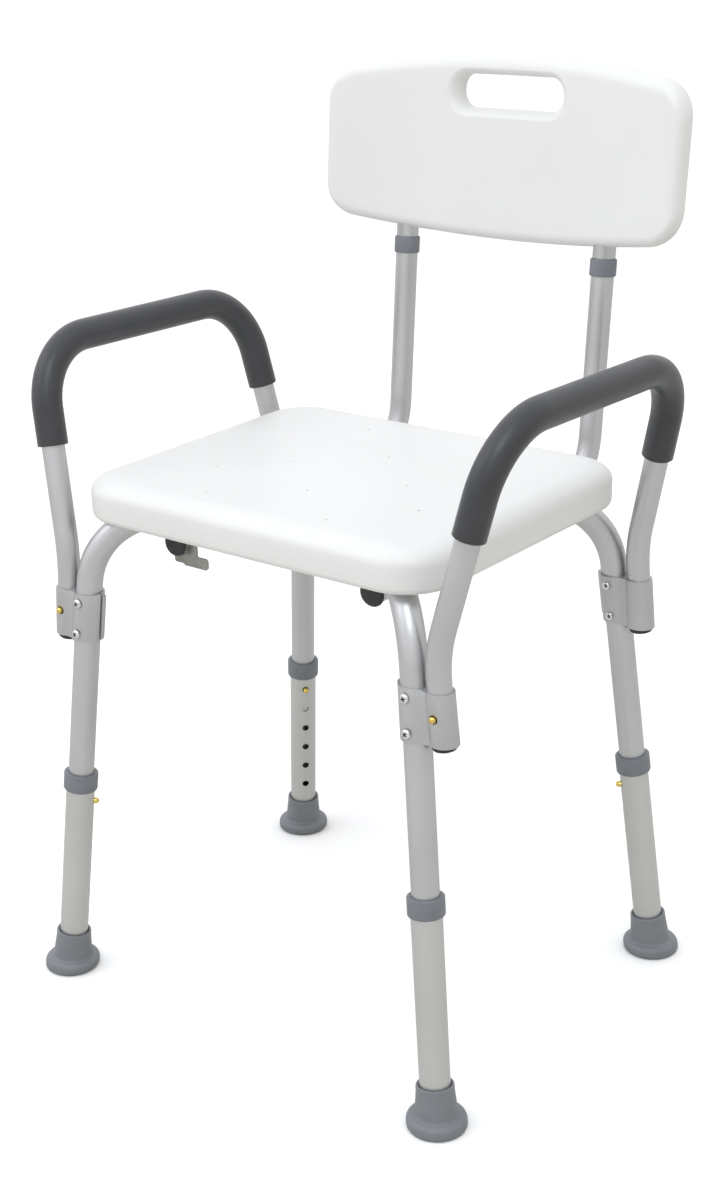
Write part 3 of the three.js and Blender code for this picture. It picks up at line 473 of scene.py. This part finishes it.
for cid, sx, sy in CORNERS:
    def level(outline, z):
        """Outline drawn at height z, from the leg axis towards the arm axis."""
        leg, arm = leg_at(sx, sy, z), arm_at(sx, sy, z)
        x = (arm - leg).normalized()
        y = V(0, 0, 1).cross(x)
        return [leg + x * a + y * b for a, b in outline]

    def across(z):
        return (arm_at(sx, sy, z) - leg_at(sx, sy, z)).length

    def lip(outline):
        """Upright bar at the open side: outline of distance towards the middle, and y."""
        return loft([[leg_at(sx, sy, z) + V(-sx * a, b, 0) for a, b in outline]
                     for z in (Z_LOW, Z_HIGH)])
    piece = raw(f"clamp_{cid}", loft([level(bracket_outline(across(z)), z)
                                      for z in (Z_LOW, Z_HIGH)]))
    # short lip that carries on from the sleeve, and a longer flat one with rounded corners
    boolean(piece, lip([(11.5, -8.2), (12.45, -8.2), (14.6, -5.4), (16, -3), (16.5, -1.4),
                        (16.5, 0), (11.5, 0)]), "UNION")
    r = TAB_CORNER
    tab = [(11.5, Z_LOW)] + [(TAB_REACH - r + r * math.sin(a), Z_LOW + r - r * math.cos(a))
                             for a in [math.pi / 2 * k / 8 for k in range(9)]]
    tab += [(a, Z_LOW + Z_HIGH - z) for a, z in reversed(tab)]
    boolean(piece, loft([[leg_at(sx, sy, z) + V(-sx * a, y, 0) for a, z in tab]
                         for y in (-0.5, 3.5)]), "UNION")
    for at, bore in ((leg_at, LEG_BORE), (arm_at, ARM_BORE)):
        boolean(piece, drum(at(sx, sy, Z_LOW - 3 * CUT), at(sx, sy, Z_HIGH + 3 * CUT), bore,
                            ROUND))
    boolean(piece, loft([[leg_at(sx, sy, z) + V(-sx * a, b, 0)
                          for a, b in ((8, -SLIT), (24, -SLIT), (24, SLIT), (8, SLIT))]
                         for z in (Z_LOW - CUT, Z_HIGH + CUT)]))
    for side in (-1, 1):
        boolean(piece, loft([level(waist_gap(across(z), side), z)
                             for z in (Z_LOW - CUT, Z_HIGH + CUT)]))
    tap = arm_at(sx, sy, ARM_PIN_Z)
    boolean(piece, drum(tap + V(0, 5 * sy, 0), tap + V(0, 24 * sy, 0), PIN_HOLE_R))
    for bw in BOLT_W:
        b = bolt_at(sx, sy, bw)
        boolean(piece, drum(b - V(0, 24, 0), b + V(0, 24, 0), BOLT_HOLE_R))
    bevel(piece, 0.3)
    finish(piece, "frame", "bracket", f"arm_bracket_{cid}", sharp=30)
    for i, bw in enumerate(BOLT_W):
        b, out, face = bolt_at(sx, sy, bw), V(0, sy, 0), BOLT_FACE
        nut = -face  # ring-ended barrel nut on the inner side
        piece = raw(f"screw_{cid}_{i}", turned(
            [(0, nut + 3), (1.7, nut + 3), (1.8, nut - 2.2), (2.1, nut - 2.6),
             (3.3, nut - 2.6), (3.6, nut - 2.3), (3.7, nut - 0.6), (3.7, nut), (2.5, nut),
             (2.5, face), (4.4, face), (4.5, face + 0.5), (4.3, face + 1.3), (3.7, face + 2.1),
             (2.7, face + 2.5), (1.4, face + 2.75), (0, face + 2.8)], b, out))
        cross = []  # the screwdriver slots, narrower towards their bottom
        a = math.radians(20 + 35 * i)
        e1, e2 = V(math.cos(a), 0, math.sin(a)), V(-math.sin(a), 0, math.cos(a))
        for dx, dz in ((2.5, 0.75), (0.75, 2.5)):
            cross.append(loft([[b + out * s + e1 * x * k + e2 * z * k for x, z in
                                ((-dx, -dz), (dx, -dz), (dx, dz), (-dx, dz))]
                               for s, k in ((face - 1.5, 0.7), (face + 4, 1.0))]))
        boolean(piece, merged(*cross), overlap=True)
        finish(piece, "frame", "chrome", f"bracket_bolt_{cid}_{'lower' if i else 'upper'}")

# ------------------------------------------------------------------ arms
FLARE_Z, FLARE_TILT, ARM_END = 448.5, math.radians(12.5), 371
FLARE_R, ELBOW_R, GRIP_FRONT_Z, GRIP_REAR_Z, ARM_HOLE_R = 140, 66, 551, 542, 4
for aid, sx in (("l", -1), ("r", 1)):
    xb, body = arm_at(sx, 1, FLARE_Z).x * sx, f"arm_{aid}"

    def top(y, t):
        return V(sx * (xb + math.sin(FLARE_TILT) * t), y, FLARE_Z + math.cos(FLARE_TILT) * t)
    knees = [arm_at(sx, -1, ARM_END), V(sx * xb, ARM_YF, FLARE_Z), top(-137, 198.2),
             top(149, 191.2), V(sx * xb, ARM_YR, FLARE_Z), arm_at(sx, 1, ARM_END)]
    radii, steps = (0, FLARE_R, ELBOW_R, ELBOW_R, FLARE_R, 0), (0, 8, 20, 20, 8, 0)
    piece = raw(f"arm_pipe_{aid}", tube(bent(list(zip(knees, radii, steps))),
                                        ARM_OD / 2, ARM_WALL))
    taps = [arm_at(sx, sy, ARM_PIN_Z) for sy in (-1, 1)]
    boolean(piece, merged(*[drum(p + V(0, 5 * sy, 0), p + V(0, 20 * sy, 0), ARM_HOLE_R)
                            for p, sy in zip(taps, (-1, 1))]))
    finish(piece, body, "tube", f"arm_tube_{aid}")
    lo = knees[1].lerp(knees[2], (GRIP_FRONT_Z - knees[1].z) / (knees[2].z - knees[1].z))
    hi = knees[4].lerp(knees[3], (GRIP_REAR_Z - knees[4].z) / (knees[3].z - knees[4].z))
    piece = raw(f"arm_pad_{aid}", tube(bent([(lo, 0, 0), (knees[2], ELBOW_R, 24),
                                             (knees[3], ELBOW_R, 24), (hi, 0, 0)]), GRIP_OD / 2,
                                       GRIP_OD / 2 - ARM_OD / 2 - 0.15, ease=0.9))
    finish(piece, body, "grip", f"arm_grip_{aid}")
    for sy, p in zip((-1, 1), taps):
        tag = ("f" if sy < 0 else "r") + aid
        piece = raw(f"end_plug_{tag}", turned(
            [(0, -7.6), (3.5, -7.5), (6.2, -7.2), (8.4, -6.7), (9.9, -6), (10.8, -5.1),
             (11.1, -4.1), (11.1, -0.15), (9.75, -0.15), (9.5, 12), (0, 12)],
            arm_at(sx, sy, ARM_END), arm_dir(sx)))
        finish(piece, body, "black", f"arm_plug_{tag}")
        piece = raw(f"arm_pin_{tag}", turned(
            [(0, 6.4), (4.4, 6.4), (4.4, 8.4), (3.2, 8.4), (3.2, 14), (3.05, 14.9),
             (2.6, 15.8), (1.9, 16.4), (1, 16.75), (0, 16.8)], p, V(0, sy, 0)))
        boolean(piece, leaf(p, V(0, sy, 0), -arm_dir(sx), 6.45, -3.6, 26, 3.4), "UNION")
        finish(piece, f"arm_button_{tag}", "brass", f"arm_button_{tag}")


# ------------------------------------------------------------------ back tubes
def back_y(z):
    return BACK_Y600 + BACK_LEAN * (z - 600)


def back_at(sx, z):
    return V(sx * BACK_X, back_y(z), z)


BACK_DIR = V(0, BACK_LEAN, 1).normalized()
COLLAR_Z, SWAGE_Z, INSERT_LOW, INSERT_TOP, BACK_BUTTON_Z = 676.4, 689.4, 612, 800, 655
RAIL_BEND, NECK_R, BACK_HOLE_R = 60, 9.75, 3.6  # the neck is the upper tube's thin lower part
for bid, sx in (("l", -1), ("r", 1)):
    p, n = back_at(sx, BACK_BUTTON_Z), V(0, 1, -BACK_LEAN).normalized()
    path = bent([(V(sx * BACK_X, RAIL_FRONT, RAIL_Z), 0, 0), (back_at(sx, RAIL_Z), RAIL_BEND, 22),
                 (back_at(sx, SWAGE_Z - 0.6), 0, 0)])
    piece = raw(f"back_pipe_{bid}", tube(path, BACK_OD / 2, BACK_WALL))
    boolean(piece, drum(p + n * 5, p + n * 20, BACK_HOLE_R))
    finish(piece, "frame", "tube", f"back_tube_{bid}")
    piece = raw(f"rail_cap_{bid}", turned(
        [(0, -3.6), (9.2, -3.6), (10.8, -3.4), (11.9, -2.9), (12.6, -1.9), (12.8, -0.3),
         (9.7, -0.3), (9.4, 11), (0, 11)], V(sx * BACK_X, RAIL_FRONT, RAIL_Z), V(0, 1, 0)))
    finish(piece, "frame", "black", f"back_tube_cap_{bid}")
    piece = raw(f"back_ring_{bid}", turned(
        [(11.4, 0.2), (12.1, 0), (12.6, 0.3), (12.85, 1), (12.9, 1.6), (12.9, 14.6),
         (12.8, 15.4), (12.4, 16), (11.9, 16.2), (11.4, 16)], back_at(sx, COLLAR_Z), BACK_DIR))
    finish(piece, "frame", "collar", f"back_collar_{bid}", sharp=30)
    end, step = [(z - INSERT_LOW) / BACK_DIR.z for z in (INSERT_TOP, SWAGE_Z)]
    r0, r1, wall = NECK_R, BACK_OD / 2, BACK_WALL
    piece = raw(f"back_upright_{bid}", turned(
        [(r0 - wall, 0), (r0, 0), (r0, step), (r0 + 0.3, step + 0.7), (r1 - 0.35, step + 2),
         (r1, step + 2.8), (r1, end), (r1 - wall, end), (r1 - wall, step + 3.5),
         (r0 - wall, step + 1)],
        back_at(sx, INSERT_LOW), BACK_DIR))
    boolean(piece, drum(p + n * 5, p + n * 20, 3.5))
    finish(piece, "backrest", "tube", f"back_insert_{bid}")
    piece = raw(f"back_pin_{bid}", turned(
        [(0, 4.6), (4, 4.6), (4, 6.6), (3.1, 6.6), (3.1, 12.2), (2.9, 13.2), (2.4, 14),
         (1.6, 14.5), (0.8, 14.75), (0, 14.8)], p, n))
    boolean(piece, leaf(p, n, BACK_DIR, 4.65, -2.9, 26, 3), "UNION")
    finish(piece, f"back_button_{bid}", "brass", f"back_button_{bid}")


# ------------------------------------------------------------------ sheet-metal parts
def strip(path, t, y0, y1):
    """Bent sheet strip: a centre line in x and z, thickness t, from y0 to y1."""
    left, right = [], []
    for i, (x, z) in enumerate(path):
        ax, az = path[max(i - 1, 0)]
        bx, bz = path[min(i + 1, len(path) - 1)]
        dx, dz = bx - ax, bz - az
        s = math.hypot(dx, dz)
        nx, nz = -dz / s * t / 2, dx / s * t / 2
        left.append((x + nx, z + nz))
        right.append((x - nx, z - nz))
    outline = left + right[::-1]
    verts = [V(x, y, z) for y in (y0, y1) for x, z in outline]
    n, m = len(outline), len(path)
    faces = [(j, (j + 1) % n, n + (j + 1) % n, n + j) for j in range(n)]
    for i in range(m - 1):
        quad = (i, i + 1, n - 2 - i, n - 1 - i)
        faces += [quad, tuple(q + n for q in quad[::-1])]
    return verts, faces


def saddle(x, reach_l, reach_r):
    """Centre line of a strap that hangs round a back tube from the underside of the seat."""
    r, top_z = BACK_OD / 2 + 1.3, SEAT_Z0 - 1.3
    pts = [(x - r - reach_l, top_z)]
    for s in (-1, 1):
        turn = [(x + s * (r + 2.4 - 2.4 * math.sin(a)), top_z - 2.4 + 2.4 * math.cos(a))
                for a in [math.pi / 2 * i / 5 for i in range(6)]]
        if s < 0:
            pts += turn
            pts += [(x + r * math.cos(a), RAIL_Z + r * math.sin(a))
                    for a in [math.pi + math.pi * i / 18 for i in range(19)]]
        else:
            pts += turn[::-1]
    pts.append((x + r + reach_r, top_z))
    return pts


for bid, sx in (("l", -1), ("r", 1)):
    piece = raw(f"saddle_clip_{bid}", strip(saddle(sx * BACK_X, 15.4, 15.4), 2, -34, -12))
    bevel(piece, 0.35)
    finish(piece, "frame", "plate", f"seat_clip_{bid}")
piece = raw("cross_strap", strip(saddle(-BACK_X, 10, 20) + saddle(BACK_X, 20, 10), 2, 137, 157))
bevel(piece, 0.35)
finish(piece, "frame", "plate", "rear_strap")

HOOK = [(-96.2, 490.6), (-110.8, 490.6), (-110.8, 476), (-116.4, 468.6), (-131, 471),
        (-131, 463), (-125, 452), (-124.6, 448.2), (-123.6, 447.2), (-113.6, 447.2),
        (-112.4, 445.4), (-85.4, 445.4), (-83.2, 447.4), (-83.2, 454.4), (-85.2, 456.4),
        (-96.2, 456.4)]
piece = raw("hook_plate", loft([[V(x, y, z) for x, z in HOOK] for y in (-112.2, -110.2)]))
boolean(piece, drum(V(-BACK_X, -115, RAIL_Z), V(-BACK_X, -108, RAIL_Z), BACK_OD / 2 + 0.3))
boolean(piece, box(-110.8, -96.2, -131, -111, 488.6, 490.6), "UNION")
bevel(piece, 0.4)
finish(piece, "frame", "plate", "retaining_plate")


# ------------------------------------------------------------------ seat
SEAT_MIN_R = 5  # smallest corner of an inner ring
DRAIN_R, DIMPLE_R, DIMPLE_DEPTH, VENT_X, VENT_R = 1.1, 9, 0.35, 150, 2.5
CHANNEL_R, CHANNEL_DROP, CHANNEL_LOW_Z = 14.5, -34, 458
DRAINS = [(0, 62), (0, -62), (68, 0), (-68, 0), (119, 52), (-119, 52), (119, -52),
          (-119, -52), (70, 122), (-70, 122), (70, -122), (-70, -122)]


def seat_outline(inset):
    """Always the same number of points, so that rings of any inset can be lofted."""
    arcs = corner_arcs(SEAT_HX - inset, SEAT_HY - inset, max(SEAT_R - inset, SEAT_MIN_R), 14)
    pts = []
    for i, arc in enumerate(arcs):
        (x, y), (ex, ey) = arc[-1], arcs[(i + 1) % 4][0]
        # then the straight run to the next corner
        pts += arc + [(x + (ex - x) * k / 30, y + (ey - y) * k / 30) for k in range(1, 30)]
    return pts


def seat_top(x, y, inset):
    z = SEAT_Z1 - SEAT_DISH * smoothstep(inset, SEAT_ROLL_X - 8, SEAT_ROLL_X + 62)
    for dx, dy in DRAINS:
        q = math.hypot(x - dx, y - dy)
        if q < DIMPLE_R:
            z -= DIMPLE_DEPTH * (1 + math.cos(math.pi * q / DIMPLE_R)) / 2
    return z


def seat_shape():
    rings = []
    for i in (160, 140, 110, 80, 50, 30, 16):  # the flat underside, from the middle outwards
        rings.append([V(x, y + SEAT_Y, SEAT_Z0) for x, y in seat_outline(i)])
    for k in range(7):
        a = math.pi / 2 * k / 6
        i, z = SEAT_LOW_R * (1 - math.sin(a)), SEAT_Z0 + SEAT_LOW_R * (1 - math.cos(a))
        rings.append([V(x, y + SEAT_Y, z) for x, y in seat_outline(i)])
    for k in range(11):
        a = math.pi / 2 * k / 10
        i, z = SEAT_ROLL_X * (1 - math.cos(a)), SEAT_Z1 - SEAT_ROLL_Z * (1 - math.sin(a))
        rings.append([V(x, y + SEAT_Y, z) for x, y in seat_outline(i)])
    i = SEAT_ROLL_X
    while i < SEAT_HY - 6:
        i += 3
        rings.append([V(x, y + SEAT_Y, seat_top(x, y + SEAT_Y, i)) for x, y in seat_outline(i)])
    return loft(rings)


def channel(sx, r=CHANNEL_R, drop=CHANNEL_DROP):
    """Open-bottomed round channel that takes one crossing tube."""
    path, mid, along = frame_path(sx, 12)
    path = [p for p in path if p.z > CHANNEL_LOW_Z]
    across = V(0, 0, 1).cross(along).normalized()
    rings = []
    for p, t, u, v in frames(path, V(0, 0, 1) - along * along.z):
        up = V(0, 0, 1)
        rings.append([p + across * (r * math.cos(a)) + up * (r * math.sin(a))
                      for a in [math.pi * k / 16 for k in range(17)]]
                     + [p - across * r + up * drop, p + across * r + up * drop])
    return loft(rings)


piece = raw("seat_shell", seat_shape())
for shape in (channel(-1), channel(1), turned([(0, 440), (48, 440), (48, 504.5), (46.5, 506.2),
                                               (44.5, 507), (0, 507)], V(0, 0, 0), V(0, 0, 1))):
    boolean(piece, shape)
boolean(piece, merged(*[drum(V(x, y, 470), V(x, y, 550), DRAIN_R, 24) for x, y in DRAINS]))
boolean(piece, merged(*[drum(V(x, 0, 480), V(x, 0, 498), VENT_R, 24) for x in (-VENT_X, VENT_X)]))
finish(piece, "frame", "plastic", "seat_panel", sharp=45)

low = CROSS_Z - STEP_Z - FLAT_H - 0.3
piece = raw("centre_screw", turned(
    [(0, low - 4.4), (2.5, low - 4.35), (4.4, low - 3.9), (5.6, low - 2.9), (5.9, low - 1.7),
     (8.3, low - 1.4), (8.5, low - 1.1), (8.5, low), (3, low), (3, 505), (0, 505)],
    V(0, 0, 0), V(0, 0, 1)))
finish(piece, "frame", "chrome", "centre_bolt")


# ------------------------------------------------------------------ back panel
def bowed(x, y, z):
    return V(x, y + PANEL_SET - PANEL_BOW * (x / PANEL_HX) ** 2 + back_y(z), z)


def bite(d, r):
    return r - math.sqrt(max(r * r - (r - d) ** 2, 0)) if d < r else 0


def panel_shape():
    ends = [0, 0.15, 0.5, 1.1, 2, 3.2, 4.8, 6.8, 9.2, 12, 15.5, 19.5, 24, 29, 34]
    mid = [-165 + 5.5 * k for k in range(61)]
    xs = [e - PANEL_HX for e in ends] + mid + [PANEL_HX - e for e in reversed(ends)]
    rings = []
    for x in xs:
        d = PANEL_HX - abs(x)
        top = PANEL_TOP - PANEL_CROWN_T * (x / PANEL_HX) ** 2
        low = PANEL_BOTTOM + PANEL_CROWN_B * (x / PANEL_HX) ** 2
        hz = (top - low) / 2 - bite(d, PANEL_CORNER_R)
        hy = PANEL_T / 2 - bite(d, PANEL_EDGE_R)
        r = min(PANEL_EDGE_R, hy * 0.97)
        ring = []
        for i, arc in enumerate(corner_arcs(hy, hz, r, 8)):
            ring += arc
            if i % 2:  # the long faces, front and rear
                y0, z0 = arc[-1]
                z1 = -z0
                ring += [(y0, z0 + (z1 - z0) * k / 32) for k in range(1, 32)]
        rings.append([bowed(x, y, z + (top + low) / 2) for y, z in ring])
    return loft(rings)


def slot_shape():
    """Cutter for the hand slot: its rim rolls over smoothly into both faces."""
    rows = []
    for i in range(31):
        k = math.sin(math.pi * (i / 30 - 0.5)) if 0 < i < 30 else (1.2 if i else -1.2)
        e = min(abs(k), 1)
        lip = SLOT_LIP * (1 - math.sqrt(max(1 - e * e * 0.985, 0)))
        r, y = SLOT_HZ + lip, PANEL_T / 2 * k
        rim = []
        for side, arc in enumerate(corner_arcs(SLOT_HX + 1.25 * lip, r, r * 0.96, 12)):
            rim += arc
            if side % 2 == 0:  # the long edges, above and below
                x0, z0 = arc[-1]
                rim += [(x0 * (1 - j / 8), z0) for j in range(1, 16)]
        rows.append([bowed(x, y, z + SLOT_Z) for x, z in rim])
    return loft(rows)


piece = raw("back_shell", panel_shape())
boolean(piece, slot_shape())
boolean(piece, merged(*[drum(back_at(sx, 680), back_at(sx, INSERT_TOP + 3), BACK_OD / 2 + 0.3,
                             ROUND) for sx in (-1, 1)]))
finish(piece, "backrest", "plastic", "back_panel", sharp=45)

# ------------------------------------------------------------------ studio
scene = bpy.context.scene
scene.view_settings.view_transform = "Standard"
half = 30.0  # the floor is 60 m square
floor_mesh = bpy.data.meshes.new("studio_floor")
floor_mesh.from_pydata([(-half, -half, 0), (half, -half, 0), (half, half, 0), (-half, half, 0)],
                       [], [(0, 1, 2, 3)])
floor = bpy.data.objects.new("studio_floor", floor_mesh)
scene.collection.objects.link(floor)
paper = node_material("studio_paper", (0.97, 0.965, 0.955), 0.9, 0.0,
                      tint=(0.975, 0.97, 0.96), patch=0.5, rough_vary=0.02,
                      grain=(300, 300, 300), grain_depth=0.00001)
floor_mesh.materials.append(paper)
# the paper is white to the eye and a little greyer in the light that it sends back up
pt = paper.node_tree
shade = pt.nodes.new("ShaderNodeMix")
shade.data_type = "RGBA"
shade.inputs["A"].default_value = (0.61, 0.60, 0.56, 1)
pt.links.new(pt.nodes.new("ShaderNodeLightPath").outputs["Is Camera Ray"], shade.inputs["Factor"])
pt.links.new(pt.nodes["Color Ramp"].outputs["Color"], shade.inputs["B"])
pt.links.new(shade.outputs["Result"], pt.nodes["Principled BSDF"].inputs["Base Color"])

world = bpy.data.worlds.new("studio")
scene.world = world
world.use_nodes = True
wt = world.node_tree
background = wt.nodes["Background"]
direction = wt.nodes.new("ShaderNodeTexCoord")
lean = wt.nodes.new("ShaderNodeVectorMath")
lean.operation = "DOT_PRODUCT"
lean.inputs[1].default_value = (-0.30, -0.12, 0.75)
wt.links.new(direction.outputs["Generated"], lean.inputs[0])
height = wt.nodes.new("ShaderNodeMapRange")
height.inputs["From Min"].default_value, height.inputs["From Max"].default_value = -0.35, 0.8
wt.links.new(lean.outputs["Value"], height.inputs["Value"])
sky = wt.nodes.new("ShaderNodeValToRGB")
sky.color_ramp.elements[0].position, sky.color_ramp.elements[1].position = 0.12, 1.0
sky.color_ramp.elements[0].color = (0.74, 0.73, 0.70, 1)
sky.color_ramp.elements[1].color = (1.34, 1.38, 1.47, 1)
for at, tone in ((0.41, (0.99, 0.99, 0.98)), (0.58, (1.06, 1.06, 1.06)), (0.86, (1.13, 1.15, 1.19))):
    sky.color_ramp.elements.new(at).color = (*tone, 1)
wt.links.new(height.outputs["Result"], sky.inputs["Fac"])
seen = wt.nodes.new("ShaderNodeLightPath")
backdrop = wt.nodes.new("ShaderNodeMix")
backdrop.data_type = "RGBA"
wt.links.new(seen.outputs["Is Camera Ray"], backdrop.inputs["Factor"])
wt.links.new(sky.outputs["Color"], backdrop.inputs["A"])
backdrop.inputs["B"].default_value = (1, 1, 1, 1)
wt.links.new(backdrop.outputs["Result"], background.inputs["Color"])
background.inputs["Strength"].default_value = 1.0


def softbox(name, at, aim, size, power, tone=(1.0, 1.0, 1.0)):
    light = bpy.data.lights.new(name, "AREA")
    light.shape, light.size, light.size_y, light.energy = "RECTANGLE", size[0], size[1], power
    light.color = tone
    obj = bpy.data.objects.new(name, light)
    obj.location = at
    obj.rotation_euler = (Vector(aim) - Vector(at)).to_track_quat("-Z", "Y").to_euler()
    scene.collection.objects.link(obj)


softbox("key", (-1.8, -1.6, 2.6), (0, 0, 0.45), (2.0, 2.0), 12)
softbox("high", (1.0, -1.5, 3.0), (0, 0, 0.45), (1.3, 1.3), 18, (0.86, 0.93, 1.0))

# camera: azimuth, elevation and roll, then its place in metres
AZ, EL, ROLL = [math.radians(a) for a in (39.88, 25.16, -2.01)]
CAMERA_AT = (1.078, -1.355 - MIDDLE_Y * MM, 1.0645)
back = V(math.sin(AZ) * math.cos(EL), -math.cos(AZ) * math.cos(EL), math.sin(EL))
right = (-back).cross(V(0, 0, 1)).normalized()
up = right.cross(-back)
right, up = (right * math.cos(ROLL) + up * math.sin(ROLL),
             up * math.cos(ROLL) - right * math.sin(ROLL))
cam_data = bpy.data.cameras.new("view")
cam_data.sensor_width, cam_data.lens = 36, 57.57
cam_data.shift_x, cam_data.shift_y = 0.0394, 0.1166
cam_data.clip_end = 200
cam = bpy.data.objects.new("view", cam_data)
cam.matrix_world = Matrix.Translation(CAMERA_AT) @ \
    Matrix((right, up, back)).transposed().to_4x4()
scene.collection.objects.link(cam)
scene.camera = cam
